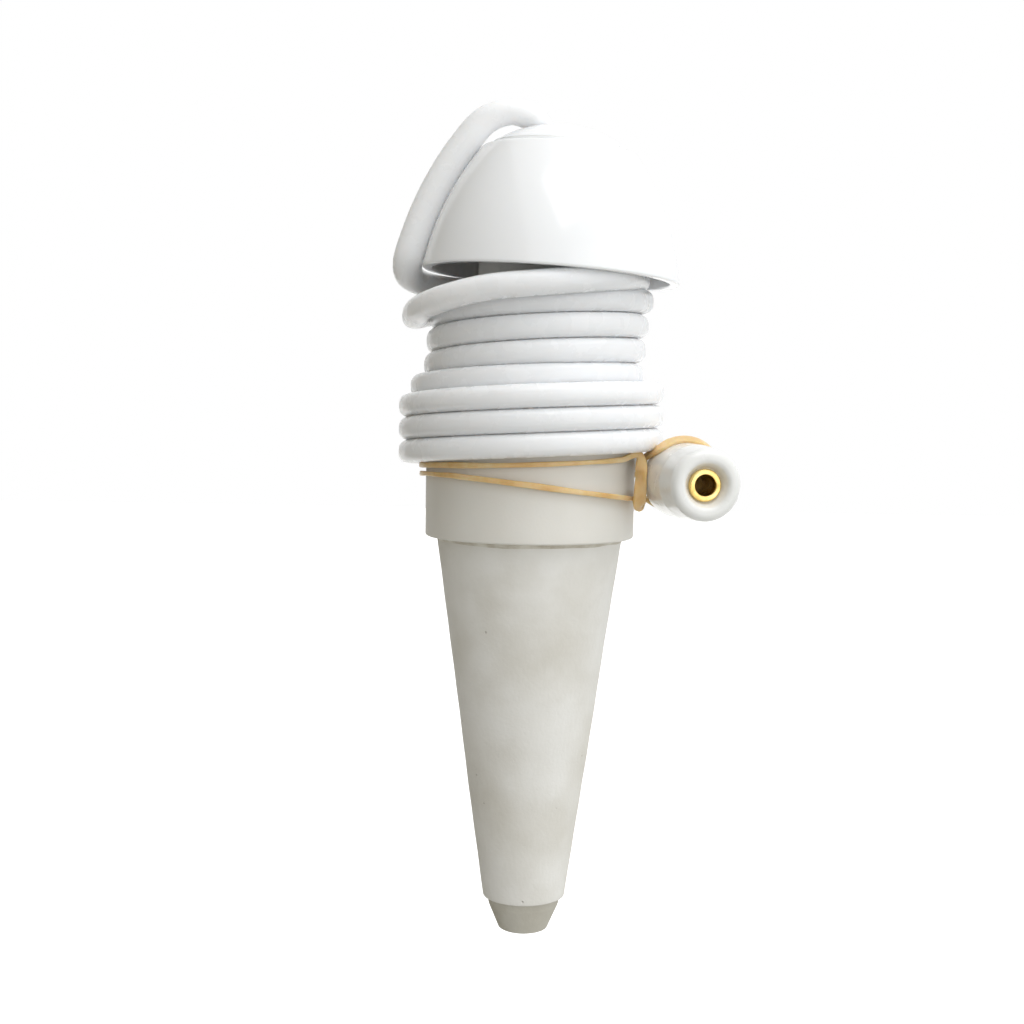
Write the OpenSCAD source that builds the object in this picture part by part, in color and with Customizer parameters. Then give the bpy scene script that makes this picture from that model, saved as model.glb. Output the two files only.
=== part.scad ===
// Self watering spike: a hollow porous clay cone with a bonded collar, a threaded
// cap under a dome, and a soft hose wound round the neck and the collar, which ends
// in a glazed sinker. Millimetres, +Z up, origin at the centre of the collar's
// underside, where the soil line is. The photograph's camera looks along +Y.

/* [Clay cone] */
// Radius that the cone's straight side has at the collar's underside
cone_top_r = 15.25; // [14.9:0.05:15.3]
// Radius of the sharp lip at the cone's lower end
cone_lip_r = 6.8; // [6.5:0.05:7]
// Length of the cone from the collar's underside down to the lip
cone_len = 60.4; // [55:0.2:70]
// Thickness of the fired clay wall
cone_wall = 2.6; // [2:0.1:3]
// Radius of the cone's neck inside the collar
cone_neck_r = 14.6; // [14.3:0.05:14.7]
// Depth of the cone's neck in the collar
cone_neck_len = 9; // [7:0.5:9.5]

/* [Tip plug] */
// Radius of the plug's head where it meets the lip
tip_r = 6.2; // [5.9:0.05:6.4]
// Radius of the plug's flat end
tip_end_r = 3.6; // [3:0.1:3.8]
// Length of the plug's head below the lip
tip_len = 5.6; // [5:0.1:8]
// Radius of the plug's shank inside the cone
tip_shank_r = 3.6; // [3:0.1:4]

/* [Collar] */
// Outer radius of the collar
collar_r = 17.1; // [17:0.05:17.2]
// Height of the collar
collar_h = 22; // [21.8:0.1:22]
// Radius of the collar's upper bore, at the roots of its thread
socket_r = 13.4; // [13.3:0.05:13.5]
// Height of the bead of bonding compound under the collar
bond_h = 1; // [0.8:0.1:1.6]

/* [Thread and washer] */
// Rise of the thread in one turn
thread_pitch = 4; // [3.6:0.1:4.4]
// How far each thread ridge stands out
thread_depth = 0.9; // [0.7:0.05:1]
// Radial and axial play of the cap's plug in the collar
thread_play = 0.3; // [0.2:0.05:0.35]
// Thickness of the sealing washer
washer_t = 1.2; // [1:0.1:1.3]

/* [Cap] */
// Lean of the dome to the right, in degrees
cap_lean = 3.5; // [0:0.5:4]
// Tip of the dome to the back, in degrees
cap_tip = 1; // [0:0.5:1.5]
// How far the soft neck is pushed to the right at the dome's rim
cap_push = 2.8; // [1.5:0.1:3]
// Height of the rim's centre above the collar's underside
rim_z = 42.2; // [42:0.1:42.5]
// Outer radius of the neck under the coil
neck_r = 11.5; // [11:0.1:11.6]
// Thickness of the neck's wall
neck_wall = 2.1; // [1.6:0.1:2.4]
// Thickness of the dome's shell
dome_wall = 1.6; // [1.2:0.1:1.8]
// Height of the dome's flat top above its rim
dome_h = 20.1; // [19.8:0.1:20.3]
// Height of the hub's crown above the rim
hub_top = 24.4; // [24.1:0.1:24.7]
// Radius of the ball that the hub's crown is cut from
hub_ball_r = 19; // [18:0.5:20]

/* [Hose] */
// Outer diameter of the hose
hose_d = 4.5; // [4.4:0.05:4.5]
// Radius of the wound turns on the neck, at the hose's middle
turn_neck_r = 15.95; // [15.9:0.05:16]
// Radius of the wound turns on the collar, at the hose's middle
turn_collar_r = 19.65; // [19.6:0.05:19.7]
// Drop of one turn on the neck
turn_neck_drop = 3.95; // [3.9:0.05:4]
// Drop of the turn that crosses from the neck to the collar
turn_cross_drop = 2.8; // [2.7:0.05:2.9]
// Drop of one turn on the collar
turn_collar_drop = 3.74; // [3.7:0.02:3.8]
// Number of turns in the wound coil
coil_turns = 6.75; // [6.75]

/* [Sinker] */
// Radius of the glazed sinker at its rear
sinker_r = 6.1; // [5.9:0.05:6.3]
// Radius of the sinker's lip at its mouth
sinker_mouth_r = 5.45; // [5.3:0.05:5.8]
// Length of the sinker
sinker_len = 15.2; // [14:0.2:16]
// Outer radius of the brass ferrule in the sinker's mouth
ferrule_r = 2.5; // [2.3:0.05:2.6]
// Radius of the ferrule's bore
ferrule_bore_r = 1.5; // [1.2:0.05:1.7]

/* [Rubber band] */
// Width of the rubber band
band_w = 1.2; // [1:0.1:1.3]
// Thickness of the rubber band
band_t = 0.8; // [0.6:0.05:0.9]

/* [Hidden] */
$fn = 64;

// Cone, tip and collar: the bore narrows from its straight part to the plug's shank
cone_slope = (cone_top_r - cone_lip_r) / cone_len;
cone_floor = 5.9;
cone_bore_r = cone_neck_r - cone_wall;
cone_bore_foot = -3;
floor_taper = 1.5;
floor_edge = 0.4;
tip_round = 0.6;
collar_lead = 1.1;
collar_foot_edge = 0.3;
collar_edge = 0.8;
bond_out = 0.75;
bond_bulge = 0.2;

// Cap: the plug and its thread stand straight, the neck leans over to the dome
plug_r = socket_r - thread_depth - thread_play;
plug_foot = 11.4;
flange_r = 14.6;
flange_t = 1.6;
washer_r = flange_r;
flange_z = collar_h + washer_t;
neck_foot = flange_z + flange_t / 2;
neck_bore_r = neck_r - neck_wall;
neck_lean = atan2(cap_push, rim_z - neck_foot);
neck_run = norm([cap_push, rim_z - neck_foot]);
bar_lap = 1.4;
bar_step = 0.3;
bore_lap = 0.6;

// Thread: ridges of one trapezoid section, half a turn apart in collar and plug
ridge_root = 1.3;
ridge_tip = 0.7;
ridge_sink = 0.2;
ridge_turns = 1.6;
ridge_steps = 30;
collar_ridge_z = 13;
plug_ridge_z = collar_ridge_z + thread_pitch / 2;

// Dome: its side is an arc about a point below the rim and past the axis
dome_arc = 43.54;
dome_arc_in = 22.15;
dome_arc_drop = 6.14;
dome_steps = 9;
function dome_side(arc, t) = [sqrt(arc * arc - pow(t + dome_arc_drop, 2)) - dome_arc_in, t];
dome_step = 0.5;
hose_play = 0.1;
step_r = 11.4;
hub_r = step_r - 0.2;
hub_steps = 6;
hub_stem_r = neck_bore_r + bar_step - hose_play;
hub_stem_foot = 13.6;
socket_tilt = 35;
socket_out = 3.8;
socket_deep = 3;
hub_ball_z = hub_top - hub_ball_r;
socket_z = hub_ball_z + sqrt(hub_ball_r * hub_ball_r - socket_out * socket_out);
drilling_r = 1.4;
function dome_point(u, t) = [
    cap_push + u * cos(cap_lean) + t * cos(cap_tip) * sin(cap_lean),
    t * sin(cap_tip),
    rim_z - u * sin(cap_lean) + t * cos(cap_tip) * cos(cap_lean)];
seat_u = socket_deep * sin(socket_tilt) - socket_out;
seat_z = socket_z - socket_deep * cos(socket_tilt);
socket_mouth = dome_point(-socket_out, socket_z);
socket_seat = dome_point(seat_u, seat_z);

// Hose: a tube of eight sides where it is loose, and of six where it is wound, a
// little flattened by its pull. The coil's centre is given at t turns from its start
// at the right, going clockwise from above, with the front and the right of each turn
// raised a little
coil_z = 38.4;
coil_push = 1.25;
coil_push_turns = 3.5;
raised_right = 0.45;
raised_front = 0.65;
cross_from = 3;
coil_steps = 24;
flat_w = 4.2;
flat_h = 2.75;
function ease(x) = let (c = min(max(x, 0), 1)) c * c * (3 - 2 * c);
function coil_drop(t) =
    turn_neck_drop * min(t, cross_from)
    + turn_cross_drop * min(max(t - cross_from, 0), 1)
    + turn_collar_drop * max(t - cross_from - 1, 0);
function coil_r(t) = turn_neck_r + (turn_collar_r - turn_neck_r) * ease(t - cross_from);
function coil_x(t) = coil_push * max(1 - t / coil_push_turns, 0);
function coil_point(t) = [
    coil_x(t) + coil_r(t) * cos(360 * t),
    -coil_r(t) * sin(360 * t),
    coil_z - coil_drop(t) + raised_right * (cos(360 * t) - 1) + raised_front * sin(360 * t)];
function unit(v) = v / norm(v);
coil_ts = [for (i = [0 : coil_turns * coil_steps]) i / coil_steps];
coil_in = unit(coil_point(0.01) - coil_point(0));
coil_out = unit(coil_point(coil_turns) - coil_point(coil_turns - 0.01));
coil_start = coil_point(0) - coil_in * hose_d;
coil_end = coil_point(coil_turns) + coil_out * hose_d;
coil_path = concat([coil_start], [for (t = coil_ts) coil_point(t)], [coil_end]);

// Route of the hose from the hub, over the dome's left side and once and a half
// round under the rim, where it lies flatter, to the start of the coil
loop_route = [
    [-0.8, 0.3, 67.9], [-4.2, 0.2, 68.6], [-8.5, 0.1, 67],
    [-12.4, 0, 62.1], [-15.3, 0, 57.5], [-17.8, 0, 52.4], [-19.6, 0, 47.6],
    [-20.5, 0.4, 44.6], [-20.5, 2.4, 42.7], [-19.3, 5.9, 41.7], [-16.2, 9.8, 41.1],
    [-11.6, 13.3, 40.9], [-5.8, 15.7, 41], [0.8, 16.3, 41.5], [7.2, 15.2, 41.8],
    [12.6, 11.7, 41.9], [16, 6.4, 41.8], [16.8, 0, 41.6], [15.8, -7, 41.5],
    [12.9, -13.4, 41.3], [7, -17.5, 40.7], [0, -18.9, 40], [-7, -17.8, 39.3],
    [-13.2, -14.5, 38], [-17.6, -8.5, 36.6], [-19.2, 0, 35.6], [-18, 7.1, 36.2],
    [-13.6, 12.8, 37.1], [-7.4, 16.6, 37.7], [-0.2, 17.8, 38.2], [7, 16.4, 38.5],
    [12.8, 12, 38.6]];
tube_r = hose_d / 2 - 0.15;
tube_flat = 1.4;
flat_from = 9;
flat_to = 12;
path_lead = 2;
loop_path = concat([socket_seat, socket_mouth], loop_route,
                   [coil_start - coil_in * path_lead, coil_start]);

// Route of the hose from the coil's end at the back into the rear of the sinker
sinker_rear = [23.7, -5, 9.95];
sinker_dir = unit([0.2, -1, -0.01]);
tail_route = [[11.6, 16.2, 12], [16.9, 12, 11.6], [20.9, 6.8, 11.1], [23.2, 1.4, 10.6]];
tail_inside = 3;
tail_path = concat([coil_end, coil_end + coil_out * path_lead], tail_route,
                   [sinker_rear - sinker_dir * 1.5, sinker_rear + sinker_dir * tail_inside]);

// Sinker: rounded rear, a side that narrows to the torus lip of the mouth, and a dish
// inside the lip, from whose floor the ferrule stands up
sinker_round_r = 1.6;
sinker_round_steps = 4;
sinker_lip_r = 1.2;
sinker_lip_end = 140;
sinker_lip_steps = 7;
dish_depth = 1.7;
ferrule_set = 0.9;
ferrule_edge = 0.3;
ferrule_flare = 0.2;
ferrule_flare_depth = 1.2;

// Route of the rubber band: round the collar under the coil, once round the sinker,
// over its top and behind its rear, round the collar again lower down, and back
band_clear = 0.3;
band_r = collar_r + band_clear + band_t / 2;
band_ring_r = sinker_r + band_clear + band_t / 2;
band_ring_at = 1.2;
band_ring_slant = 2.8;
band_ring_dip = 2.2;
band_step = 9;
band_front_upper = [[-180, 11.4], [-158, 11.7], [-135, 12], [-112, 12.2], [-90, 12.5], [-35, 13.2]];
band_corners = [[17.3, -9, 13.6], [17.3, -9.2, 6.2], [17.8, -4.4, 7]];
band_leave = [[18, -4.6, 13], [18.6, -1, 12], [18.6, 3.4, 10.6]];
band_lower = [[24, 9.4], [68, 8.2], [90, 8.2], [112, 8.5], [135, 9], [158, 9.6], [180, 10],
              [202, 10.3], [225, 10.4], [248, 10], [270, 9.3], [292, 8.4], [315, 7.5],
              [333, 6.9], [352, 6.6], [372, 7], [390, 7.8], [412, 9.9], [432, 9.8],
              [452, 9.8], [474, 10], [496, 10.5], [540, 11.4]];
function on_collar(a, z) = [band_r * cos(a), band_r * sin(a), z];
ring_side = unit(cross(sinker_dir, [0, 0, 1]));
ring_up = cross(ring_side, sinker_dir);
ring_mid = sinker_rear + sinker_dir * band_ring_at;
function ring_r(a) = band_ring_r - band_ring_dip * pow(min(sin(a), 0), 2);
function on_ring(a) = ring_mid + sinker_dir * band_ring_slant * sin(a)
    + ring_r(a) * (ring_side * cos(a) + ring_up * sin(a));
band_turn = concat([for (a = [-180 : band_step : -36]) on_collar(a, lookup(a, band_front_upper))],
                   band_corners);
band_ring = [for (a = [-50 : -20 : -320]) on_ring(a)];
band_rest = concat(band_leave,
                   [for (a = [27 : band_step : 531]) on_collar(a, lookup(a, band_lower))]);
band_path = concat(band_turn, band_ring, band_rest);

// Least distance between the points of two passes of the coil
flat_section = [for (a = [0 : 60 : 300]) [flat_w / 2 * cos(a), flat_h / 2 * sin(a) / sin(60)]];
function coil_ring(t) =
    let (out = [cos(360 * t), -sin(360 * t), 0])
    [for (q = flat_section) coil_point(t) + out * q[0] + [0, 0, q[1]]];
function point_gap(t) =
    let (a = coil_ring(t),
         near = [for (k = [-2 : 2]) each coil_ring(t + 1 + k / coil_steps)])
    min([for (p = a, q = near) norm(p - q)]);
echo(least_gap_between_coil_points = min([for (t = coil_ts) if (t + 1 <= coil_turns) point_gap(t)]));

function path_len(p) = len(p) < 2 ? 0 : norm(p[1] - p[0]) + path_len([for (i = [1 : len(p) - 1]) p[i]]);
echo(hose_length = path_len(loop_path) + path_len(coil_path) + path_len(tail_path));

// Place on the dome's axis, with the rim's centre at the origin of what is placed
module on_dome() {
    translate([cap_push, 0, rim_z]) rotate([-cap_tip, cap_lean, 0]) children();
}

// A round bar that follows the neck: leaning up from the flange, then one step wider
// up the dome's axis
module neck_bar(r, foot, top) {
    translate([0, 0, neck_foot]) rotate([0, neck_lean, 0])
        translate([0, 0, -foot]) cylinder(r = r, h = neck_run + foot + bar_lap);
    on_dome() translate([0, 0, -bar_lap]) cylinder(r = r + bar_step, h = top + bar_lap);
}

// Helical ridge of trapezoid section, from radius r, sunk at its root and standing
// out by depth, where a negative depth points to the axis
module thread_ridge(r, depth, z0, turns) {
    n = round(turns * ridge_steps);
    root = r - sign(depth) * ridge_sink;
    tip = r + depth;
    section = [[root, -ridge_root / 2], [tip, -ridge_tip / 2],
               [tip, ridge_tip / 2], [root, ridge_root / 2]];
    points = [for (i = [0 : n], p = section)
        let (a = 360 * i / ridge_steps, lift = thread_pitch * i / ridge_steps)
        [p[0] * cos(a), p[0] * sin(a), z0 + lift + p[1]]];
    sides = [for (i = [0 : n - 1], k = [0 : 3])
        let (a = 4 * i + k, b = 4 * i + (k + 1) % 4)
        each [[a, b, b + 4], [a, b + 4, a + 4]]];
    ends = [[3, 2, 1], [3, 1, 0], [4 * n, 4 * n + 1, 4 * n + 2], [4 * n, 4 * n + 2, 4 * n + 3]];
    faces = concat(sides, ends);
    polyhedron(points = points, faces = depth > 0 ? faces : [for (f = faces) [f[2], f[1], f[0]]]);
}

// Faces of a closed tube of n rings with s points each
function tube_faces(n, s) = concat(
    [for (i = [0 : n - 2], k = [0 : s - 1])
        let (a = s * i + k, b = s * i + (k + 1) % s)
        each [[a, b, b + s], [a, b + s, a + s]]],
    [for (k = [1 : s - 2]) [0, k + 1, k]],
    [for (k = [1 : s - 2]) [s * (n - 1), s * (n - 1) + k, s * (n - 1) + k + 1]]);

// Tube of eight sides along points: each ring is an ellipse of half size r across the
// hose and flats[i] along levels[i], the axis that the hose goes round there
module swept(path, r, flats, levels) {
    n = len(path);
    points = [for (i = [0 : n - 1])
        let (way = unit(path[min(i + 1, n - 1)] - path[max(i - 1, 0)]),
             out = unit(cross(levels[i], way)),
             level = cross(out, way))
        for (a = [22.5 : 45 : 337.5])
            path[i] + out * r * cos(a) + level * flats[i] * sin(a)];
    polyhedron(points = points, faces = tube_faces(n, 8));
}

module ceramic_cone() {
    color("gainsboro")
    rotate_extrude() polygon([
        [tip_shank_r, -cone_len], [cone_lip_r, -cone_len],
        [cone_top_r - cone_slope * bond_h, -bond_h], [cone_neck_r, -bond_h],
        [cone_neck_r, cone_neck_len], [cone_bore_r, cone_neck_len],
        [cone_bore_r, cone_bore_foot],
        [cone_lip_r + cone_slope * (cone_floor + floor_taper) - cone_wall,
         -cone_len + cone_floor + floor_taper],
        [tip_shank_r + floor_edge, -cone_len + cone_floor], [tip_shank_r, -cone_len + cone_floor]]);
}

module tip_plug() {
    end = -cone_len - tip_len;
    color("darkgray")
    rotate_extrude() polygon([
        [0, end], [tip_end_r, end],
        [tip_end_r + tip_round * 0.6, end + tip_round * 0.2], [tip_end_r + tip_round, end + tip_round],
        [tip_r - 0.1, -cone_len - tip_round], [tip_r, -cone_len],
        [tip_shank_r, -cone_len], [tip_shank_r, -cone_len + cone_floor], [0, -cone_len + cone_floor]]);
}

module bond_ring() {
    out = cone_neck_r + bond_out;
    color("antiquewhite")
    rotate_extrude() polygon([
        [cone_neck_r, -bond_h], [cone_top_r - cone_slope * bond_h, -bond_h],
        [out, -bond_h * 0.75], [out + bond_bulge, -bond_h * 0.35],
        [cone_neck_r + collar_lead, 0], [cone_neck_r, collar_lead]]);
}

module collar() {
    color("ivory") {
        rotate_extrude() polygon([
            [cone_neck_r, collar_lead], [cone_neck_r + collar_lead, 0],
            [collar_r - collar_foot_edge, 0], [collar_r, collar_foot_edge],
            [collar_r, collar_h - collar_edge],
            [collar_r - collar_edge * 0.3, collar_h - collar_edge * 0.3],
            [collar_r - collar_edge, collar_h], [socket_r, collar_h], [socket_r, cone_neck_len],
            [cone_neck_r, cone_neck_len]]);
        thread_ridge(socket_r, -thread_depth, collar_ridge_z, ridge_turns);
    }
}

module sealing_washer() {
    color("dimgray")
    translate([0, 0, collar_h])
        rotate_extrude() polygon([[plug_r + thread_play, 0], [washer_r, 0], [washer_r, washer_t],
                                  [plug_r + thread_play, washer_t]]);
}

module neck_plug() {
    color("whitesmoke") {
        difference() {
            union() {
                translate([0, 0, plug_foot]) cylinder(r = plug_r, h = flange_z - plug_foot);
                translate([0, 0, flange_z]) cylinder(r = flange_r, h = flange_t);
                neck_bar(neck_r, 0, dome_h - dome_wall);
            }
            translate([0, 0, plug_foot - 1])
                cylinder(r = neck_bore_r + bar_step, h = neck_foot + bore_lap - plug_foot + 1);
            neck_bar(neck_bore_r, bore_lap, dome_h);
        }
        thread_ridge(plug_r, thread_depth, plug_ridge_z, ridge_turns);
    }
}

module dome_shell() {
    inner_h = dome_h - dome_wall;
    outer = [for (i = [0 : dome_steps]) dome_side(dome_arc, dome_h * i / dome_steps)];
    inner = [for (i = [dome_steps : -1 : 0]) dome_side(dome_arc - dome_wall, inner_h * i / dome_steps)];
    step = [[step_r, dome_h], [step_r, dome_h + dome_step], [hub_stem_r, dome_h + dome_step],
            [hub_stem_r, inner_h]];
    color("white")
    on_dome() rotate_extrude() polygon(concat(outer, step, inner));
}

// The hub's crown, its stem in the neck's bore, the hose's socket and the drilling
module hose_hub() {
    crown_foot = dome_h + dome_step;
    crown = [for (i = [0 : hub_steps])
        let (u = hub_r * (1 - i / hub_steps))
        [u, hub_ball_z + sqrt(hub_ball_r * hub_ball_r - u * u)]];
    color("snow")
    on_dome() difference() {
        union() {
            rotate_extrude() polygon(concat([[0, crown_foot], [hub_r, crown_foot]], crown));
            translate([0, 0, hub_stem_foot])
                cylinder(r = hub_stem_r, h = crown_foot + dome_step - hub_stem_foot);
        }
        translate([seat_u, 0, seat_z]) rotate([0, -socket_tilt, 0])
            cylinder(r = hose_d / 2 + hose_play, h = hub_stem_r);
        translate([seat_u, 0, hub_stem_foot - 1])
            cylinder(r = drilling_r, h = seat_z + drilling_r - hub_stem_foot + 1);
    }
}

module hose_loop() {
    share = [for (i = [0 : len(loop_path) - 1]) ease((i - flat_from) / (flat_to - flat_from))];
    color("mintcream")
    swept(loop_path, tube_r, [for (k = share) tube_r + (tube_flat - tube_r) * k],
          [for (k = share) unit([0, 1 - k, k])]);
}

module hose_coil() {
    n = len(coil_path);
    points = [for (i = [0 : n - 1])
        let (t = min(max(i - 1, 0) / coil_steps, coil_turns),
             out = [cos(360 * t), -sin(360 * t), 0],
             way = unit(coil_path[min(i + 1, n - 1)] - coil_path[max(i - 1, 0)]),
             side = unit(out - way * (out * way)))
        for (q = flat_section) coil_path[i] + side * q[0] + cross(side, way) * q[1]];
    color("azure")
    polyhedron(points = points, faces = tube_faces(n, len(flat_section)));
}

module hose_tail() {
    color("aliceblue")
    swept(tail_path, tube_r, [for (p = tail_path) tube_r], [for (p = tail_path) [0, 0, 1]]);
}

// Place at the sinker's rear, with its axis up and its mouth at the top
module on_sinker() {
    translate(sinker_rear)
        rotate([0, acos(sinker_dir[2]), atan2(sinker_dir[1], sinker_dir[0])]) children();
}

module sinker() {
    hole_r = hose_d / 2 + hose_play;
    lip_v = sinker_len - sinker_lip_r;
    dish_v = sinker_len - dish_depth;
    rear = [for (i = [0 : sinker_round_steps])
        let (a = 90 * (i / sinker_round_steps - 1))
        [sinker_r - sinker_round_r, sinker_round_r] + sinker_round_r * [cos(a), sin(a)]];
    lip = [for (i = [0 : sinker_lip_steps])
        let (a = sinker_lip_end * i / sinker_lip_steps)
        [sinker_mouth_r - sinker_lip_r, lip_v] + sinker_lip_r * [cos(a), sin(a)]];
    color("white")
    on_sinker() rotate_extrude() polygon(concat(
        [[hole_r, 0]], rear, lip,
        [[ferrule_r, dish_v], [ferrule_r, tail_inside], [hole_r, tail_inside]]));
}

module sinker_ferrule() {
    top = sinker_len - ferrule_set;
    color("goldenrod")
    on_sinker() rotate_extrude() polygon([
        [ferrule_bore_r, tail_inside], [ferrule_r, tail_inside], [ferrule_r, top - ferrule_edge],
        [ferrule_r - ferrule_edge, top], [ferrule_bore_r + ferrule_flare, top],
        [ferrule_bore_r, top - ferrule_flare_depth]]);
}

// A closed band: its flat side faces the collar's axis, or the sinker's on the ring
module rubber_band() {
    n = len(band_path);
    way = [for (i = [0 : n - 1]) unit(band_path[(i + 1) % n] - band_path[(i + n - 1) % n])];
    ring_from = len(band_turn);
    ring_to = ring_from + len(band_ring);
    out = [for (i = [0 : n - 1])
        let (p = band_path[i],
             raw = i >= ring_from && i < ring_to ? p - ring_mid : [p[0], p[1], 0])
        unit(raw - way[i] * (raw * way[i]))];
    corners = [[-1, -1], [-1, 1], [1, 1], [1, -1]];
    points = [for (i = [0 : n - 1], q = corners)
        band_path[i] + out[i] * q[0] * band_t / 2 + cross(way[i], out[i]) * q[1] * band_w / 2];
    faces = [for (i = [0 : n - 1], k = [0 : 3])
        let (a = 4 * i + k, b = 4 * i + (k + 1) % 4, c = (4 * (i + 1) + k) % (4 * n),
             d = (4 * (i + 1)) % (4 * n) + (k + 1) % 4)
        each [[a, b, d], [a, d, c]]];
    color("burlywood")
    polyhedron(points = points, faces = faces);
}

ceramic_cone();
tip_plug();
bond_ring();
collar();
sealing_washer();
neck_plug();
dome_shell();
hose_hub();
hose_loop();
hose_coil();
hose_tail();
sinker();
sinker_ferrule();
rubber_band();
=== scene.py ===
import bmesh
import bpy
import numpy as np
from mathutils import Matrix


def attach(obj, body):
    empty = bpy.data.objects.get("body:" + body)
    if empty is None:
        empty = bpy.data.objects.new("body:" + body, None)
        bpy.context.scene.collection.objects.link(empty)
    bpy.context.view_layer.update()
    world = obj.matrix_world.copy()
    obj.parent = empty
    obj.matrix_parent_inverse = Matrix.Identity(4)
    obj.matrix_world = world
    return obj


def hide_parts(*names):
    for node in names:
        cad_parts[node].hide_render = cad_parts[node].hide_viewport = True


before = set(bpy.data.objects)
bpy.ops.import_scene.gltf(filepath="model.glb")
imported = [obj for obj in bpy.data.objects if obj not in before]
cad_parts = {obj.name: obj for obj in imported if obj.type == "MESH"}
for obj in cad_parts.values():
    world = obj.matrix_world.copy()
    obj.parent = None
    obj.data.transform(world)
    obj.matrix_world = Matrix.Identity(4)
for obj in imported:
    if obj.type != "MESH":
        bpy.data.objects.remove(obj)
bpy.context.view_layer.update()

# Camera: a quarter of a metre in front of the spike, at the height of its coil. It looks
# a little down and is rolled a little, with a long lens on a 36 mm sensor.
mm = 0.001
pitch = np.radians(4.43)
roll = np.radians(0.9)
ahead = np.array([0, np.cos(pitch), -np.sin(pitch)])
level_up = np.array([0, np.sin(pitch), np.cos(pitch)])
camera_right = np.cos(roll) * np.array([1, 0, 0]) + np.sin(roll) * level_up
camera_up = np.cross(camera_right, ahead)
camera_place = np.array([-2.899, -250.454, 23.231]) * mm
camera = bpy.data.objects.new("camera", bpy.data.cameras.new("camera"))
camera.data.lens = 53.58
camera.data.sensor_width = 36
camera.data.clip_start = 0.01
camera.matrix_world = Matrix.Translation(camera_place) @ Matrix(
    np.stack([camera_right, camera_up, -ahead], 1)
).to_4x4()
bpy.context.scene.collection.objects.link(camera)
bpy.context.scene.camera = camera

# Hose: one soft, milky white tube of 4.5 mm and about a metre. It leaves the hub, bends
# over the dome's left side, goes once and a half round under the rim, is wound 6.75 turns
# round the neck and the collar, and ends in the rear of the sinker.
hub_socket = np.array([[2.04, 0.38, 63.85], [0.47, 0.42, 66.4]])
loop_route = np.array([
    [-0.8, 0.3, 67.9], [-4.2, 0.2, 68.6], [-8.5, 0.1, 67],
    [-12.4, 0, 62.1], [-15.3, 0, 57.5], [-17.8, 0, 52.4], [-19.6, 0, 47.6],
    [-20.5, 0.4, 44.6], [-20.5, 2.4, 42.7], [-19.3, 5.9, 41.7], [-16.2, 9.8, 41.1],
    [-11.6, 13.3, 40.9], [-5.8, 15.7, 41], [0.8, 16.3, 41.5], [7.2, 15.2, 41.8],
    [12.6, 11.7, 41.9], [16, 6.4, 41.8], [16.8, 0, 41.6], [15.8, -7, 41.5],
    [12.9, -13.4, 41.3], [7, -17.5, 40.7], [0, -18.9, 40], [-7, -17.8, 39.3],
    [-13.2, -14.5, 38], [-17.6, -8.5, 36.6], [-19.2, 0, 35.6], [-18, 7.1, 36.2],
    [-13.6, 12.8, 37.1], [-7.4, 16.6, 37.7], [-0.2, 17.8, 38.2], [7, 16.4, 38.5],
    [12.8, 12, 38.6]])
coil_turns = 6.75
coil_steps = 24
neck_turns = 3
turn = np.arange(coil_turns * coil_steps + 1) / coil_steps
cross_over = np.clip(turn - neck_turns, 0, 1)
coil_r = 15.95 + 3.7 * cross_over**2 * (3 - 2 * cross_over)
coil_drop = (3.95 * np.minimum(turn, neck_turns) + 2.8 * cross_over
             + 3.74 * np.maximum(turn - neck_turns - 1, 0))
swing = 2 * np.pi * turn
coil = np.stack([
    1.25 * np.maximum(1 - turn / 3.5, 0) + coil_r * np.cos(swing),
    -coil_r * np.sin(swing),
    38.4 - coil_drop + 0.45 * (np.cos(swing) - 1) + 0.65 * np.sin(swing)], 1)
tail_route = np.array([
    [11.6, 16.2, 12], [16.9, 12, 11.6], [20.9, 6.8, 11.1], [23.2, 1.4, 10.6]])
sinker_rear = np.array([23.7, -5, 9.95])
sinker_way = np.array([0.2, -1, -0.01]) / np.linalg.norm([0.2, -1, -0.01])
hose_route = np.concatenate([
    hub_socket, loop_route, coil, tail_route,
    [sinker_rear - sinker_way * 1.5, sinker_rear + sinker_way * 3]]) * mm
coil_at = len(hub_socket) + len(loop_route)
coil_over = coil_at + len(coil)


def smooth_way(route, step):
    """Curve through the route's points, in even steps: between two points it is the cubic
    whose slope at each is half the way from the point before to the point after. It comes
    with its stations, which count the route's points from 0."""
    points_between = 40
    ends = np.concatenate([[2 * route[0] - route[1]], route, [2 * route[-1] - route[-2]]])
    before, here, there, after = (ends[k:len(ends) - 3 + k, None] for k in range(4))
    t = np.linspace(0, 1, points_between, endpoint=False)[None, :, None]
    fine = 0.5 * (2 * here + (there - before) * t
                  + (2 * before - 5 * here + 4 * there - after) * t**2
                  + (3 * here - before - 3 * there + after) * t**3)
    fine = np.concatenate([fine.reshape(-1, 3), route[-1:]])
    gone = np.concatenate([[0], np.cumsum(np.linalg.norm(np.diff(fine, axis=0), axis=1))])
    at = np.linspace(0, gone[-1], int(gone[-1] / step) + 1)
    way = np.stack([np.interp(at, gone, fine[:, k]) for k in range(3)], 1)
    return way, np.interp(at, gone, np.arange(len(fine)) / points_between), gone[-1]


def unit(v):
    """Each row at length 1."""
    return v / np.linalg.norm(v, axis=-1, keepdims=True)


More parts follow.
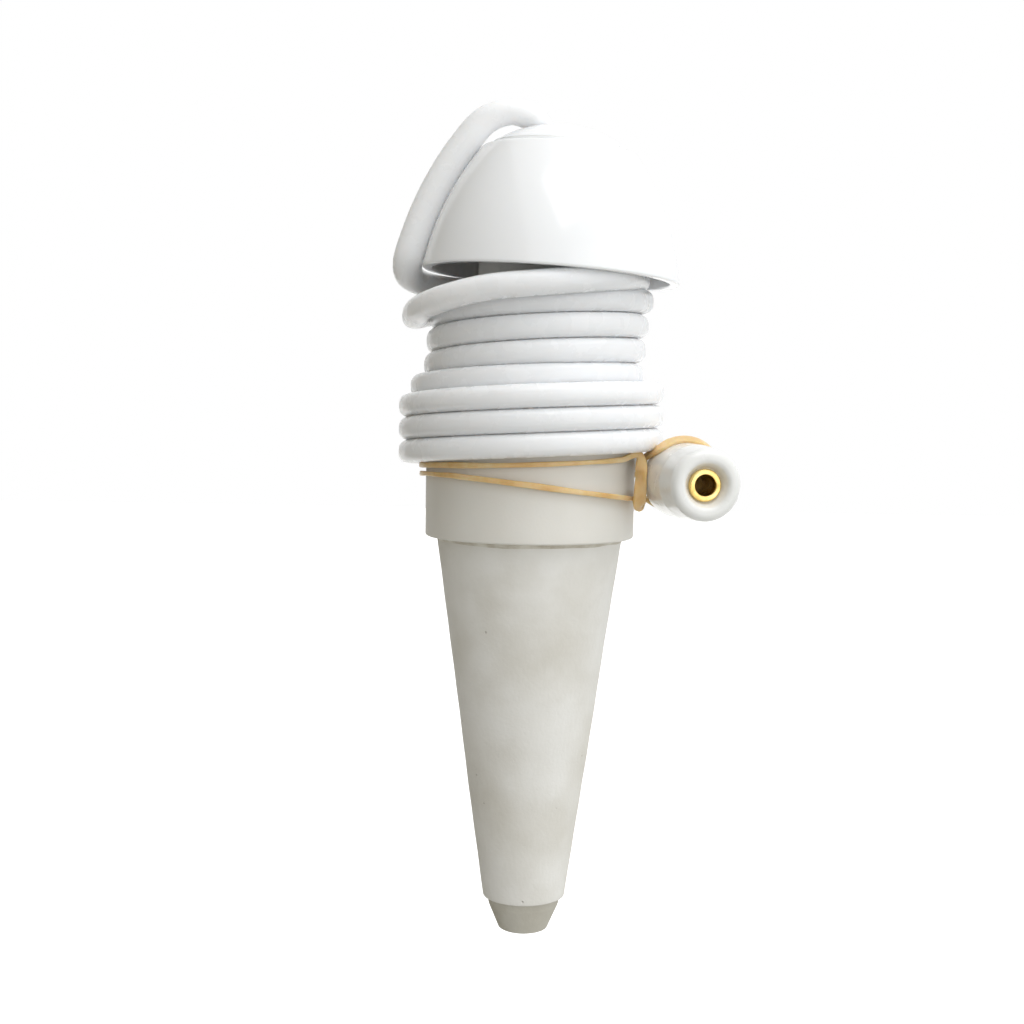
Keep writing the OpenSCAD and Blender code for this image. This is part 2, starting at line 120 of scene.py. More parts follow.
def surface(name, grid, closed=False):
    """Mesh over a grid of points: each square joins four neighbours, the second direction
    closes on itself, and so does the first where closed is set. Points that meet are
    welded, faces look outwards, and the UV map holds the share of the way round and along."""
    rows, cols = grid.shape[:2]
    i, j = np.meshgrid(np.arange(rows - (not closed)), np.arange(cols), indexing="ij")
    corners = [(i, j), (i, j + 1), (i + 1, j + 1), (i + 1, j)]
    squares = np.stack([a % rows * cols + b % cols for a, b in corners], -1)
    welded_within = 1e-6
    mesh = bpy.data.meshes.new(name)
    mesh.from_pydata(grid.reshape(-1, 3).tolist(), [], squares.reshape(-1, 4).tolist())
    places = np.stack([np.stack([b / cols, a / rows], -1) for a, b in corners], 2)
    mesh.uv_layers.new(name="way").data.foreach_set("uv", places.ravel())
    shape = bmesh.new()
    shape.from_mesh(mesh)
    bmesh.ops.remove_doubles(shape, verts=shape.verts, dist=welded_within)
    bmesh.ops.recalc_face_normals(shape, faces=shape.faces)
    shape.to_mesh(mesh)
    shape.free()
    mesh.polygons.foreach_set("use_smooth", np.ones(len(mesh.polygons), bool))
    piece = bpy.data.objects.new(name, mesh)
    bpy.context.scene.collection.objects.link(piece)
    return piece


def tube(way, level, out_half, level_half, power, sides):
    """Points round a way: each ring is a superellipse |x/a|^p + |y/b|^p = 1, whose a points
    away from what the tube is wound on and whose b lies along the level direction. The
    first and the last ring shrink to a point, so the ends are closed."""
    along = unit(np.gradient(way, axis=0))
    out = unit(np.cross(level, along))
    side = np.cross(along, out)
    angle = np.arange(sides) * 2 * np.pi / sides
    bend = 2 / power[:, None]
    x = out_half[:, None] * np.sign(np.cos(angle)) * np.abs(np.cos(angle)) ** bend
    y = level_half[:, None] * np.sign(np.sin(angle)) * np.abs(np.sin(angle)) ** bend
    rings = way[:, None] + x[..., None] * out[:, None] + y[..., None] * side[:, None]
    first = np.broadcast_to(way[0], rings[:1].shape)
    last = np.broadcast_to(way[-1], rings[:1].shape)
    return np.concatenate([first, rings, last])


hose_step = 0.5 * mm
hose_sides = 32
hose_way, station, hose_length = smooth_way(hose_route, hose_step)
turning = np.clip((station - 8.5) / 3, 0, 1)[:, None]
hose_level = unit(np.array([0, 1, 0]) * (1 - turning) + np.array([0, 0, 1]) * turning)
# Each row: the station, the half size outwards, the half size along the level, the power
flattened = np.array([
    [0, 2.25, 2.25, 2], [2, 2.15, 2.3, 2], [3, 2.05, 2.4, 2], [4, 2.3, 2.2, 2.1],
    [5, 2.5, 2.05, 2.1], [9, 2.45, 2.05, 2.1], [12, 2.25, 2.0, 2.1], [17, 2.15, 1.7, 2.1],
    [20, 2.1, 1.75, 2.1], [22, 2.1, 2.0, 2.2], [26, 2.1, 2.0, 2.3],
    [coil_at - 1, 2.1, 1.95, 2.4], [coil_at + 3, 2.05, 1.96, 2.6],
    [coil_at + 72, 2.05, 1.96, 2.6], [coil_at + 96, 1.98, 1.86, 2.6],
    [coil_over - 2, 1.98, 1.86, 2.6], [coil_over + 1, 2.25, 2.25, 2]])
hose_out, hose_tall, hose_power = (np.interp(station, flattened[:, 0], flattened[:, k])
                                   for k in (1, 2, 3))
hose = surface("hose", tube(
    hose_way, hose_level, hose_out * mm, hose_tall * mm, hose_power, hose_sides))


def material(name, colour, roughness, **values):
    """New material with one Principled shader, whose other sockets are given by name, with
    an underscore for each space."""
    made = bpy.data.materials.new(name)
    made.use_nodes = True
    shader = made.node_tree.nodes["Principled BSDF"]
    shader.inputs["Base Color"].default_value = (*colour, 1)
    shader.inputs["Roughness"].default_value = roughness
    for socket, value in values.items():
        shader.inputs[socket.replace("_", " ")].default_value = value
    return made


def node(made, kind, values=(), **settings):
    """Adds one node to a material. values fills its sockets by name or number: a socket of
    another node is linked, and anything else becomes the socket's own value."""
    tree = made.node_tree
    new = tree.nodes.new("ShaderNode" + kind)
    for setting, value in settings.items():
        setattr(new, setting, value)
    for socket, value in dict(values).items():
        if isinstance(value, bpy.types.NodeSocket):
            tree.links.new(value, new.inputs[socket])
        else:
            new.inputs[socket].default_value = value
    return new


def grain(made, scale, detail=3, stretch=(1, 1, 1), source="Object", kind="TexNoise", **more):
    """A pattern's value, on Object coordinates in metres or on the UV map, stretched."""
    place = node(made, "TexCoord").outputs[source]
    mapped = node(made, "Mapping", {"Vector": place, "Scale": stretch}).outputs[0]
    values = {"Vector": mapped, "Scale": scale}
    if kind == "TexNoise":
        values["Detail"] = detail
    values.update(more)
    return node(made, kind, values).outputs[0]


def steps(made, value, *stops):
    """Colour ramp over a value, from (place, (red, green, blue)) stops."""
    ramp = node(made, "ValToRGB", {"Fac": value})
    while len(ramp.color_ramp.elements) < len(stops):
        ramp.color_ramp.elements.new(0.5)
    for element, (place, colour) in zip(ramp.color_ramp.elements, stops):
        element.position = place
        element.color = (*colour, 1)
    return ramp.outputs[0]


def blended(made, share, one, other):
    """One colour mixed with another by a share."""
    mix = node(made, "Mix", data_type="RGBA", blend_type="MIX")
    for socket, value in {0: share, 6: one, 7: other}.items():
        if isinstance(value, bpy.types.NodeSocket):
            made.node_tree.links.new(value, mix.inputs[socket])
        else:
            mix.inputs[socket].default_value = value if socket == 0 else (*value, 1)
    return mix.outputs[2]


def finish_with(made, colour=None, roughness=None, bumps=()):
    """Links a colour and a roughness to the shader, and bumps, each (height, metres deep)."""
    shader = made.node_tree.nodes["Principled BSDF"]
    if colour is not None:
        made.node_tree.links.new(colour, shader.inputs["Base Color"])
    if roughness is not None:
        made.node_tree.links.new(roughness, shader.inputs["Roughness"])
    normal = None
    for height, deep in bumps:
        values = {"Height": height, "Distance": deep, "Strength": 1}
        if normal is not None:
            values["Normal"] = normal
        normal = node(made, "Bump", values).outputs[0]
    if normal is not None:
        made.node_tree.links.new(normal, shader.inputs["Normal"])


def levels(made, value, low, high, to_low, to_high):
    """A value spread from one range to another."""
    return node(made, "MapRange", {0: value, 1: low, 2: high, 3: to_low, 4: to_high}).outputs[0]


milky = material("hose_milky", (0.93, 0.94, 0.96), 0.22, IOR=1.45, Subsurface_Weight=0.8,
                 Subsurface_Radius=(1, 0.93, 0.88), Subsurface_Scale=0.003)
cloud = grain(milky, 90, 4)
drawn = grain(milky, 6, 5, (7, 60, 1), "UV")
finish_with(
    milky,
    steps(milky, cloud, (0.3, (0.91, 0.915, 0.935)), (0.5, (0.94, 0.945, 0.965)),
          (0.75, (0.955, 0.96, 0.97))),
    levels(milky, grain(milky, 260, 5), 0.3, 0.7, 0.2, 0.34),
    [(drawn, 0.03 * mm), (cloud, 0.12 * mm)])
hose.data.materials.append(milky)
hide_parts("hose_loop", "hose_coil", "hose_tail")
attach(hose, "cap")

# Clay cone: slip-cast, fired and unglazed, so that water seeps through its wall. Its
# straight side has pinholes, smears and a sharp lip at the lower end.
cone_top_r = 15.25
cone_lip_r = 6.8
cone_len = 60.4
cone_neck_r = 14.6
cone_wall = 2.6


def rounded(corners, radii, count=6):
    """Outline with each corner replaced by an arc of its radius: the arc starts and ends
    where the radius touches the two sides, at radius / tan(half the corner's angle)."""
    nearly_straight = 1.57
    corners = np.array(corners, float)
    outline = [corners[:1]]
    for before, here, after, radius in zip(corners, corners[1:], corners[2:], radii):
        back, on = unit(before - here), unit(after - here)
        half = np.arccos(np.clip(back @ on, -1, 1)) / 2
        if radius == 0 or half > nearly_straight:
            outline.append(here[None])
            continue
        reach = radius / np.tan(half)
        middle = here + unit(back + on) * radius / np.sin(half)
        start, end = here + back * reach - middle, here + on * reach - middle
        share = np.linspace(0, 1, count)[:, None]
        sweep = np.pi - 2 * half
        arc = (np.sin((1 - share) * sweep) * start + np.sin(share * sweep) * end) / np.sin(sweep)
        outline.append(middle + arc)
    return np.concatenate([*outline, corners[-1:]])


def even(outline, step):
    """The outline with points added on its long straight stretches, at most a step apart."""
    gaps = np.linalg.norm(np.diff(outline, axis=0), axis=1)
    counts = [max(int(np.ceil(gap / step)), 1) for gap in gaps]
    parts = [a + (b - a) * np.linspace(0, 1, count, endpoint=False)[:, None]
             for a, b, count in zip(outline, outline[1:], counts)]
    return np.concatenate([*parts, outline[-1:]])


def turned(outline, sides=128, uneven=None):
    """Points of an outline of (radius, height) turned round the Z axis, in millimetres.
    uneven(height, angle) is added to the radius."""
    angle = np.arange(sides) * 2 * np.pi / sides
    r = np.repeat(outline[:, :1], sides, 1)
    z = np.repeat(outline[:, 1:], sides, 1)
    if uneven is not None:
        r = r + uneven(z, angle[None]) * (r > 0)
    return np.stack([r * np.cos(angle), r * np.sin(angle), z], -1)


def clay_drift(z, angle):
    """Slow waves of a few hundredths of a millimetre, as of a cast surface wiped by hand."""
    return 0.035 * np.sin(2 * angle + 0.11 * z) + 0.02 * np.sin(5 * angle - 0.23 * z + 1) \
        + 0.015 * np.sin(0.8 * z + 3 * angle)


slope = (cone_top_r - cone_lip_r) / cone_len
cone_outline = even(rounded([
    [3.6, -cone_len], [cone_lip_r, -cone_len], [cone_top_r - slope * 0.4, -0.4],
    [cone_neck_r, -0.4], [cone_neck_r, 9], [cone_neck_r - cone_wall, 9],
    [cone_neck_r - cone_wall, -3], [4.95, -53], [4, -54.5], [3.6, -54.5], [3.6, -cone_len]],
    [0.28, 0.2, 0, 0.3, 0.3, 2, 1, 0, 0]), 1.2)
cone = surface("ceramic_cone_cast", turned(cone_outline, 160, clay_drift) * mm)


def fired_clay(name, pale, dull, dark):
    """Unglazed clay: three tones in wide clouds and in wiped streaks, fine sandy grain,
    pinholes whose colour is darkened towards the dark tone as painted shade, and small raised
    specks."""
    made = material(name, pale, 0.88, Specular_IOR_Level=0.25)
    wide = grain(made, 55, 5)
    wiped = grain(made, 120, 4, (1, 1, 0.25))
    sandy = grain(made, 1500, 3)
    holes = grain(made, 330, kind="TexVoronoi", Randomness=1.0)
    specks = grain(made, 190, kind="TexVoronoi", Randomness=1.0)
    palest = tuple(0.5 + 0.5 * c for c in pale)
    tone = steps(made, wide, (0.32, dull), (0.52, pale), (0.8, palest))
    tone = blended(made, levels(made, wiped, 0.45, 0.75, 0, 0.35), tone, dull)
    hole = levels(made, holes, 0.02, 0.085, 1, 0)
    rare = levels(made, grain(made, 130, 2), 0.52, 0.6, 0, 1)
    pit = node(made, "Math", {0: hole, 1: rare}, operation="MULTIPLY").outputs[0]
    speck = levels(made, specks, 0.02, 0.09, 1, 0)
    often = levels(made, grain(made, 75, 2), 0.55, 0.62, 0, 1)
    grit = node(made, "Math", {0: speck, 1: often}, operation="MULTIPLY").outputs[0]
    # Painted shade: each pinhole's colour is darkened towards the dark tone, standing in for the
    # shade inside the hole.
    painted_pinhole_shade = node(made, "Math", {0: pit, 1: 0.55}, operation="MULTIPLY").outputs[0]
    tone = blended(made, painted_pinhole_shade, tone, dark)
    sunk = node(made, "Math", {0: pit, 1: -1.0}, operation="MULTIPLY").outputs[0]
    finish_with(made, tone, levels(made, sandy, 0.3, 0.7, 0.8, 0.95),
                [(sandy, 0.05 * mm), (wiped, 0.12 * mm), (sunk, 0.12 * mm), (grit, 0.1 * mm)])
    return made


cone.data.materials.append(fired_clay(
    "clay_bisque", (0.86, 0.845, 0.8), (0.74, 0.715, 0.65), (0.4, 0.36, 0.3)))
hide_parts("ceramic_cone")
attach(cone, "root")

# Tip plug: a smaller, rounded clay piece, cemented into the cone's lower end. Its colour is
# darker than the cone's, partly a greyer clay and partly painted shade for the tip where it curves
# under.
tip_outline = even(rounded([
    [0, -66], [4.05, -66], [5.8, -61.9], [6.2, -60.4], [3.55, -60.4], [3.55, -54.6], [0, -54.6]],
    [0.5, 3, 0.1, 0, 0.4], 9), 0.8)
tip = surface("tip_plug_cast", turned(tip_outline, 128, clay_drift) * mm)
tip.data.materials.append(fired_clay(
    "clay_grey_and_painted_shade", (0.6, 0.575, 0.5), (0.46, 0.43, 0.36), (0.26, 0.23, 0.18)))
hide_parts("tip_plug")
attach(tip, "root")

# Bonding compound: the uneven bead squeezed out between the collar's foot and the cone.


def squeezed(z, angle):
    """Bead of changing thickness: a few waves round the cone, stronger lower down."""
    waves = 0.1 * np.sin(3 * angle + 0.7) + 0.08 * np.sin(7 * angle + 2) \
        + 0.05 * np.sin(13 * angle)
    return waves * np.clip(-1.5 * z, 0, 1)


bead_outline = rounded([
    [14.65, -0.8], [15.1, -0.75], [15.5, -0.35], [15.62, 0.0], [14.65, 0.95], [14.65, -0.8]],
    [0.2, 0.25, 0.1, 0])
bead = surface("bond_bead", turned(bead_outline, 200, squeezed) * mm)
compound = material("compound_cream", (0.7, 0.66, 0.56), 0.8)
lumps = grain(compound, 420, 4)
finish_with(compound, steps(compound, lumps, (0.3, (0.56, 0.51, 0.42)), (0.7, (0.78, 0.75, 0.67))),
            bumps=[(lumps, 0.2 * mm)])
bead.data.materials.append(compound)
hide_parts("bond_ring")
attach(bead, "root")

# Collar: a moulded sleeve of matt ivory plastic over the cone's neck, with one thread
# ridge of 1.6 turns for the cap inside its upper half.
collar_r = 17.1
collar_h = 22


def moulded_drift(z, angle):
    """A slight egg shape and faint waves, as of a thin moulded wall."""
    return 0.03 * np.sin(2 * angle + 0.5) + 0.012 * np.sin(6 * angle + 0.3 * z)


jacket_outline = even(rounded([
    [15.72, 0.0], [collar_r, 0.0], [collar_r, collar_h], [13.45, collar_h], [13.45, 9.1],
    [14.62, 9.1], [14.62, 1.1], [15.72, 0.0]],
    [0.35, 0.9, 0.2, 0, 0, 0]), 1.5)
collar = surface("collar_sleeve", turned(jacket_outline, 160, moulded_drift) * mm)
ivory = material("collar_ivory", (0.79, 0.77, 0.715), 0.5, Specular_IOR_Level=0.4,
                 Subsurface_Weight=0.1, Subsurface_Radius=(1, 0.8, 0.6), Subsurface_Scale=0.0015)
haze = grain(ivory, 60, 4, (1, 1, 0.5))
fine = grain(ivory, 1900, 2)
rubbed = grain(ivory, 300, 4, (1, 1, 0.08))
finish_with(
    ivory, steps(ivory, haze, (0.3, (0.775, 0.75, 0.69)), (0.6, (0.815, 0.795, 0.74))),
    levels(ivory, rubbed, 0.35, 0.7, 0.42, 0.62), [(fine, 0.02 * mm), (rubbed, 0.02 * mm)])
thread_turns = 1.6
thread_pitch = 4
thread_z = 13
ridge_steps = 96
ridge_a = np.linspace(0, thread_turns * 2 * np.pi, ridge_steps)
ridge_in = np.array([
    [13.6, -0.65], [12.6, -0.35], [12.5, -0.25], [12.5, 0.25], [12.6, 0.35], [13.6, 0.65]])
ridge_r = np.repeat(ridge_in[None, :, 0], ridge_steps, 0)
ridge_z = thread_z + thread_pitch * ridge_a[:, None] / (2 * np.pi) + ridge_in[None, :, 1]
ridge = np.stack([
    ridge_r * np.cos(ridge_a)[:, None], ridge_r * np.sin(ridge_a)[:, None], ridge_z], -1)
ridge = np.concatenate([
    np.repeat(ridge[:1].mean(1, keepdims=True), len(ridge_in), 1), ridge,
    np.repeat(ridge[-1:].mean(1, keepdims=True), len(ridge_in), 1)])
thread = surface("collar_thread", ridge * mm)
for sleeve in (collar, thread):
    sleeve.data.materials.append(ivory)
    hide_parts("collar")
    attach(sleeve, "root")

# Sealing washer: a soft dark ring between the collar's top and the cap's flange.
rubber = material("washer_dark", (0.09, 0.09, 0.09), 0.6)
soiled = grain(rubber, 700, 4)
finish_with(rubber, steps(rubber, soiled, (0.3, (0.06, 0.06, 0.06)), (0.7, (0.13, 0.125, 0.12))),
            bumps=[(grain(rubber, 2500, 2), 0.01 * mm)])
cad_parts["sealing_washer"].data.materials.clear()
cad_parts["sealing_washer"].data.materials.append(rubber)

# Cap: the threaded plug with its flange and neck is one moulding of glossy white plastic,
# hidden under the wound hose, and the dome is a thin glossy shell over it, open below.


def glossy_white(name, low, high, roughness, milkiness, reach):
    """Moulded plastic: a faint cloudy tone, fine flow waves and a roughness that varies."""
    made = material(name, high, roughness, IOR=1.5, Coat_Weight=0.25, Coat_Roughness=0.06,
                    Subsurface_Weight=milkiness, Subsurface_Radius=(1, 0.93, 0.84),
                    Subsurface_Scale=reach)
    tone = grain(made, 45, 4)
    flow = grain(made, 30, 2)
    finish_with(made, steps(made, tone, (0.3, low), (0.7, high)),
                levels(made, grain(made, 220, 5), 0.35, 0.7, roughness * 0.8, roughness * 1.4),
                [(flow, 0.15 * mm), (grain(made, 1400, 2), 0.004 * mm)])
    return made


cap_white = glossy_white("cap_white", (0.95, 0.95, 0.93), (0.97, 0.97, 0.95), 0.3, 0.2, 0.001)
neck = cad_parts["neck_plug"]
neck.data.materials.clear()
neck.data.materials.append(cap_white)

dome_lean = np.radians(3.5)
dome_tip = np.radians(1)
dome_rim = np.array([2.8, 0, 42.2])
dome_arc = 43.54
dome_arc_in = 22.15
dome_arc_drop = 6.14


def dome_side(arc, low, high, count):
    """Points of the dome's side: an arc about a point below the rim and past the axis."""
    t = np.linspace(low, high, count)
    return np.stack([np.sqrt(arc**2 - (t + dome_arc_drop) ** 2) - dome_arc_in, t], 1)


def on_dome(points):
    """Millimetres about the dome's own axis, tipped back, leaned right and moved, in metres."""
    x, y, z = np.moveaxis(points, -1, 0)
    back = y * np.cos(dome_tip) + z * np.sin(dome_tip)
    high = z * np.cos(dome_tip) - y * np.sin(dome_tip)
    lean, rise = np.sin(dome_lean), np.cos(dome_lean)
    return (np.stack([x * rise + high * lean, back, high * rise - x * lean], -1) + dome_rim) * mm


def flowed(z, angle):
    """The least unevenness of a moulded shell."""
    return 0.02 * np.sin(2 * angle + 1) + 0.012 * np.sin(3 * angle + 0.2 * z)


outer_side = dome_side(dome_arc, 0.45, 19.5, 40)
inner_side = dome_side(dome_arc - 1.6, 17.7, 0.35, 30)
dome_outline = rounded(np.concatenate([
    [[9.65, 20.6], [9.65, 18.5], [inner_side[0, 0], 18.5]], inner_side, [[19.35, 0], [20.95, 0]],
    outer_side, [[12.62, 20.1], [11.4, 20.1], [11.4, 20.6], [9.65, 20.6]]]),
    [0, 0] + [0] * len(inner_side) + [0.3, 0.3] + [0] * len(outer_side) + [0.45, 0.15, 0.12], 5)
dome = surface("dome_cap", on_dome(turned(dome_outline, 192, flowed)))
dome.data.materials.append(glossy_white(
    "dome_white", (0.965, 0.975, 0.985), (0.975, 0.985, 0.995), 0.14, 0.2, 0.001))
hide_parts("dome_shell")
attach(dome, "cap")

# Hub: the low crown pressed into the dome's top, from which the hose comes out. Its stem
# goes down the neck's bore, with the drilling that lets the water through.
hub_u = np.linspace(11.05, 0, 24)
hub_outline = np.concatenate([[[0, 20.65], [11.2, 20.65], [11.2, 20.68]],
                              np.stack([hub_u, 5.4 + np.sqrt(19**2 - hub_u**2)], 1)])
hub_cover = surface("hub_crown", on_dome(turned(hub_outline, 160, flowed)))
hub_cover.data.materials.append(glossy_white(
    "hub_white", (0.955, 0.965, 0.98), (0.97, 0.98, 0.99), 0.16, 0.2, 0.001))
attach(hub_cover, "cap")
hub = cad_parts["hose_hub"]
hub.data.materials.clear()
hub.data.materials.append(cap_white)

# Sinker: a white glazed ceramic weight on the hose's end, with a soft lip round its mouth,
# a dish inside the lip and a faint ring where the glaze pooled at its shoulder.


def on_sinker(points):
    """Millimetres about the sinker's own axis, which points to its mouth, in metres."""
    across = unit(np.cross([0, 0, 1], sinker_way))
    above = np.cross(sinker_way, across)
    x, y, z = np.moveaxis(points, -1, 0)[..., None]
    return (sinker_rear + x * across + y * above + z * sinker_way) * mm


def dipped(z, angle):
    """Glaze that is a little thicker on one side, and a low ring at the shoulder."""
    return 0.04 * np.sin(angle + 1) + 0.03 * np.sin(3 * angle + 0.4 * z) \
        + 0.05 * np.exp(-((z - 9.6) / 0.8) ** 2)


sinker_outline = even(rounded([
    [2.35, 0], [6.1, 0], [6.1, 3], [5.92, 9.6], [5.5, 15.2], [3.6, 15.2], [2.65, 13.5],
    [2.5, 13.5], [2.5, 3], [2.35, 3], [2.35, 0]],
    [1.5, 3, 8, 1.25, 0.95, 0.1, 0, 0, 0], 12), 0.5)
sinker = surface("sinker_glazed", on_sinker(turned(sinker_outline, 128, dipped)))
glaze = material("sinker_glaze", (0.88, 0.88, 0.86), 0.18, IOR=1.5, Coat_Weight=0.4,
                 Coat_Roughness=0.08, Subsurface_Weight=0.12,
                 Subsurface_Radius=(1, 1, 0.9), Subsurface_Scale=0.0012)
pooled = grain(glaze, 110, 4)
finish_with(
    glaze, steps(glaze, pooled, (0.3, (0.83, 0.83, 0.8)), (0.65, (0.89, 0.89, 0.87))),
    levels(glaze, grain(glaze, 400, 4), 0.3, 0.7, 0.14, 0.3),
    [(pooled, 0.2 * mm), (grain(glaze, 900, 2), 0.01 * mm)])
sinker.data.materials.append(glaze)
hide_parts("sinker")
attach(sinker, "cap")

# Ferrule: a turned brass bush in the sinker's mouth, through which the water goes in.
ferrule_outline = even(rounded([
    [1.5, 3], [2.45, 3], [2.55, 14.3], [1.68, 14.3], [1.5, 13.3], [1.5, 3]],
    [0, 0.35, 0.2, 0.4], 8), 0.4)
ferrule = surface("ferrule_turned", on_sinker(turned(ferrule_outline, 96)))
brass = material("ferrule_brass", (0.76, 0.56, 0.2), 0.2, Metallic=1.0)
tarnish = grain(brass, 500, 5)
ringed = grain(brass, 1, 2, (2, 900, 1), "UV")
finish_with(
    brass, steps(brass, tarnish, (0.3, (0.6, 0.4, 0.12)), (0.5, (0.85, 0.62, 0.22)),
                 (0.8, (0.93, 0.74, 0.35))),
    levels(brass, tarnish, 0.3, 0.7, 0.3, 0.14), [(ringed, 0.01 * mm)])
ferrule.data.materials.append(brass)
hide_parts("sinker_ferrule")
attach(ferrule, "cap")

# Rubber band: a flat band of amber latex, twice round the collar and once round the
# sinker's rear, which holds the sinker and the last turn of the hose in their places.
band_from_collar = 0.7
collar_gap_r = collar_r + band_from_collar
# Each row: the angle round the collar in degrees, the height
upper_front = np.array([
    [-180, 11.4], [-158, 11.7], [-135, 12], [-112, 12.2], [-90, 12.5], [-35, 13.2]])
lower_wrap = np.array([
    [24, 9.4], [68, 8.2], [90, 8.2], [112, 8.5], [135, 9], [158, 9.6], [180, 10],
    [202, 10.3], [225, 10.4], [248, 10], [270, 9.3], [292, 8.4], [315, 7.5],
    [333, 6.9], [352, 6.6], [372, 7], [390, 7.8], [412, 9.9], [432, 9.8],
    [452, 9.8], [474, 10], [496, 10.5], [540, 11.4]])


def on_collar(degrees, table):
    """Points on the collar at these angles, at the heights that the table gives."""
    a = np.radians(degrees)
    return np.stack([collar_gap_r * np.cos(a), collar_gap_r * np.sin(a),
                     np.interp(degrees, table[:, 0], table[:, 1])], 1)


ring_side = unit(np.cross(sinker_way, [0, 0, 1]))
ring_up = np.cross(ring_side, sinker_way)
ring_middle = sinker_rear + sinker_way * 1.2
ring_a = np.radians(np.arange(-50, -321, -20))[:, None]
ring_r = 6.55 - 2.2 * np.minimum(np.sin(ring_a), 0) ** 2
band_ring = ring_middle + 2.8 * sinker_way * np.sin(ring_a) + ring_r * (
    ring_side * np.cos(ring_a) + ring_up * np.sin(ring_a))
band_route = np.concatenate([
    on_collar(np.arange(-180, -35, 9), upper_front),
    [[17.3, -9, 13.6], [17.3, -9.2, 6.2], [17.8, -4.4, 7]], band_ring,
    [[18, -4.6, 13], [18.6, -1, 12], [18.6, 3.4, 10.6]],
    on_collar(np.arange(27, 523, 9), lower_wrap)]) * mm


def closed_way(route, step):
    """Closed curve through the route's points, smoothed, in even steps."""
    round_again = np.concatenate([route[-3:], route, route[:4]])
    way, at, _ = smooth_way(round_again, step)
    keep = (at >= 3) & (at < 3 + len(route))
    return way[keep]


band_step = 0.4
band_way = closed_way(band_route, band_step * mm)
ring_near = np.linalg.norm(band_way / mm - ring_middle, axis=1) < 7.2
away = np.where(ring_near[:, None], band_way - ring_middle * mm, band_way * np.array([1, 1, 0]))
x, y, z = band_way.T / mm
upright = (x > 16.9) & (y < -5) & (z > 3.5) & (z < 13.8) & ~ring_near
away = np.where(upright[:, None], np.array([0.25, -1, 0]) * mm, away)
for _ in range(12):
    away = unit((np.roll(away, 1, 0) + 2 * away + np.roll(away, -1, 0)) / 4)
band_along = unit(np.roll(band_way, -1, 0) - np.roll(band_way, 1, 0))
away = unit(away - band_along * np.sum(away * band_along, 1, keepdims=True))
band_side = np.cross(band_along, away)
gone = np.arange(len(band_way)) * band_step
broad = np.where(upright | ring_near, 1.0, 0)
for _ in range(16):
    broad = (np.roll(broad, 1) + 2 * broad + np.roll(broad, -1)) / 4
wide = 0.42 + 0.55 * broad + 0.05 * np.sin(gone / 7) + 0.03 * np.sin(gone / 2.3 + 1)
thick = 0.36 + 0.03 * np.sin(gone / 5 + 2)
band_sides = 20
band_a = np.arange(band_sides) * 2 * np.pi / band_sides
flat_x = np.sign(np.cos(band_a)) * np.abs(np.cos(band_a)) ** 0.5
flat_y = np.sign(np.sin(band_a)) * np.abs(np.sin(band_a)) ** 0.5
band_x = (thick[:, None] * flat_x)[..., None]
band_y = (wide[:, None] * flat_y)[..., None]
band_grid = band_way[:, None] + mm * (band_x * away[:, None] + band_y * band_side[:, None])
band = surface("rubber_band_latex", band_grid, closed=True)
latex = material("latex_amber", (0.8, 0.55, 0.24), 0.38, IOR=1.52, Subsurface_Weight=0.5,
                 Subsurface_Radius=(1, 0.6, 0.25), Subsurface_Scale=0.0012)
worn = grain(latex, 240, 5)
powder = grain(latex, 1500, 3)
finish_with(
    latex, steps(latex, worn, (0.3, (0.7, 0.43, 0.15)), (0.55, (0.84, 0.6, 0.3)),
                 (0.8, (0.93, 0.78, 0.55))),
    levels(latex, powder, 0.3, 0.7, 0.3, 0.5), [(powder, 0.02 * mm), (worn, 0.1 * mm)])
band.data.materials.append(latex)
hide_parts("rubber_band")
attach(band, "cap")

# Stage: a pale floor and backdrop far below and behind, and the light of a room with a
# window high on the right, a pale wall at the front right and a dim wall on the left.


def white_to_camera(made, strength):
    """Adds a white that only the camera, gloss and glass see to the material's shader."""
    tree = made.node_tree
    path = node(made, "LightPath")
    seen = node(made, "Math", {0: path.outputs["Is Camera Ray"], 1: path.outputs["Is Glossy Ray"]},
                operation="MAXIMUM").outputs[0]
    seen = node(made, "Math", {0: seen, 1: path.outputs["Is Transmission Ray"]},
                operation="MAXIMUM").outputs[0]
    glow = node(made, "Emission", {"Color": (1, 1, 1, 1), "Strength": strength}).outputs[0]
    lit = tree.nodes["Principled BSDF"].outputs[0]
    both = node(made, "AddShader", {0: lit, 1: node(
        made, "MixShader", {0: seen, 2: glow}).outputs[0]}).outputs[0]
    tree.links.new(both, tree.nodes["Material Output"].inputs["Surface"])


def board(name, corners, made):
    """A flat four-cornered piece of the stage."""
    mesh = bpy.data.meshes.new(name)
    mesh.from_pydata(corners, [], [(0, 1, 2, 3)])
    mesh.materials.append(made)
    piece = bpy.data.objects.new(name, mesh)
    bpy.context.scene.collection.objects.link(piece)
    return piece


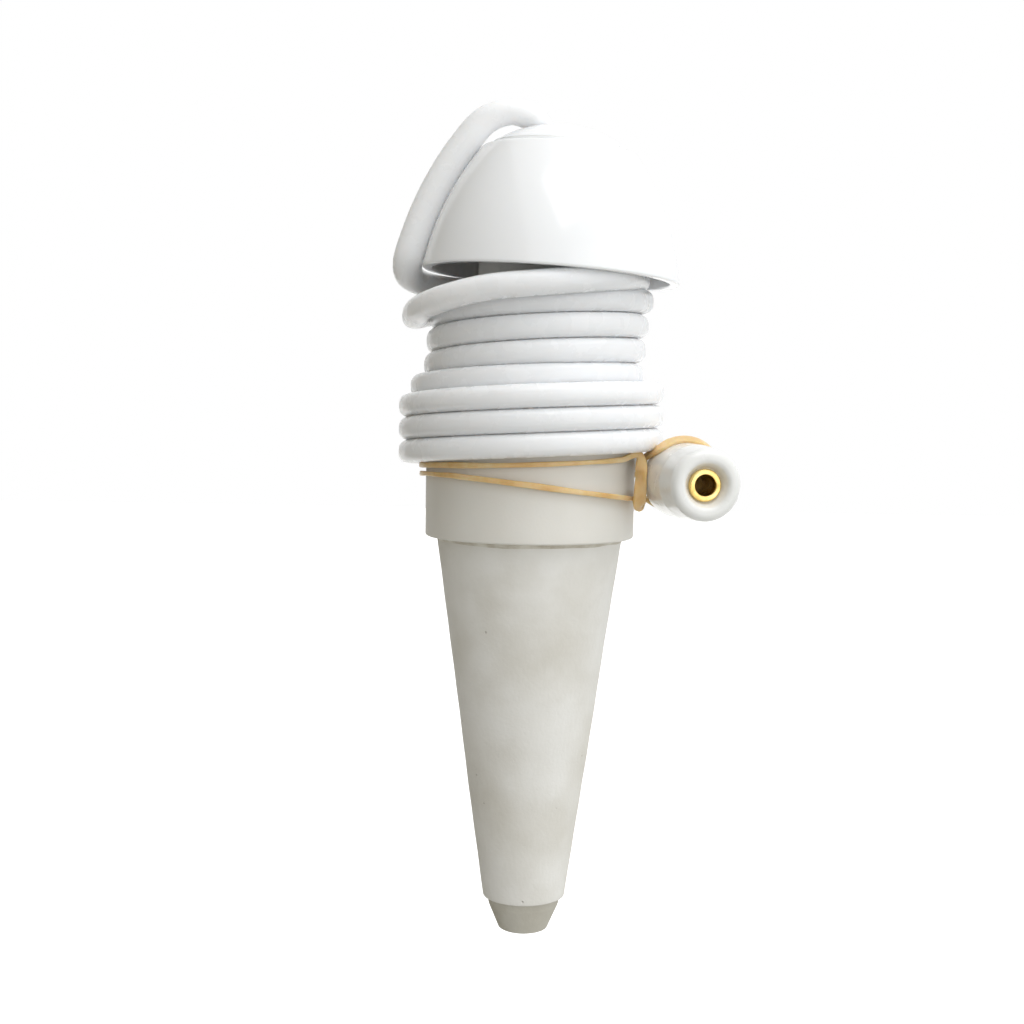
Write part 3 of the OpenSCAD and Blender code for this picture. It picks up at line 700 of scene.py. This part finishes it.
floor_pale = material("floor_pale", (0.46, 0.455, 0.43), 0.9)
white_to_camera(floor_pale, 0.95)
board("floor", [(-6, -6, -0.45), (6, -6, -0.45), (6, 6, -0.45), (-6, 6, -0.45)], floor_pale)
wall_brown = material("wall_brown", (0.33, 0.31, 0.27), 0.9)
wall = board(
    "dim_wall", [(-0.5, -1.2, -0.4), (-0.5, 0.6, -0.4), (-0.5, 0.6, 0.9), (-0.5, -1.2, 0.9)],
    wall_brown)
wall.visible_camera = False

world = bpy.data.worlds.new("room")
bpy.context.scene.world = world
world.use_nodes = True
room = world.node_tree
path = room.nodes.new("ShaderNodeLightPath")
direct = None
for kind in ("Is Camera Ray", "Is Glossy Ray", "Is Transmission Ray"):
    either = room.nodes.new("ShaderNodeMath")
    either.operation = "MAXIMUM"
    room.links.new(path.outputs[kind], either.inputs[0])
    if direct is not None:
        room.links.new(direct.outputs[0], either.inputs[1])
    direct = either
shown = room.nodes.new("ShaderNodeBackground")
shown.inputs["Color"].default_value = (1, 1, 1, 1)
shown.inputs["Strength"].default_value = 1
dim = room.nodes["Background"]
dim.inputs["Color"].default_value = (0.93, 0.97, 1, 1)
dim.inputs["Strength"].default_value = 0.86
both = room.nodes.new("ShaderNodeMixShader")
room.links.new(direct.outputs[0], both.inputs[0])
room.links.new(dim.outputs[0], both.inputs[1])
room.links.new(shown.outputs[0], both.inputs[2])
room.links.new(both.outputs[0], room.nodes["World Output"].inputs["Surface"])


def lamp(name, toward, distance, size, power):
    """White area light of a size in metres, in a direction from the spike, facing it."""
    lit_point = np.array([0, 0, 0.03])
    light = bpy.data.lights.new(name, "AREA")
    light.shape = "RECTANGLE"
    light.size, light.size_y = size
    light.energy = power
    back = unit(np.array(toward, float))
    side = unit(np.cross([0, 0, 1], back))
    lamp_object = bpy.data.objects.new(name, light)
    lamp_object.matrix_world = Matrix.Translation(lit_point + back * distance) @ Matrix(
        np.stack([side, np.cross(back, side), back], 1)).to_4x4()
    bpy.context.scene.collection.objects.link(lamp_object)


lamp("window_right", (0.33, -0.36, 0.87), 1.0, (1.0, 0.62), 3.8)
lamp("wall_front_right", (0.75, -0.75, 0.12), 1.4, (1.4, 1.2), 3.5)

bpy.context.scene.view_settings.view_transform = "Standard"
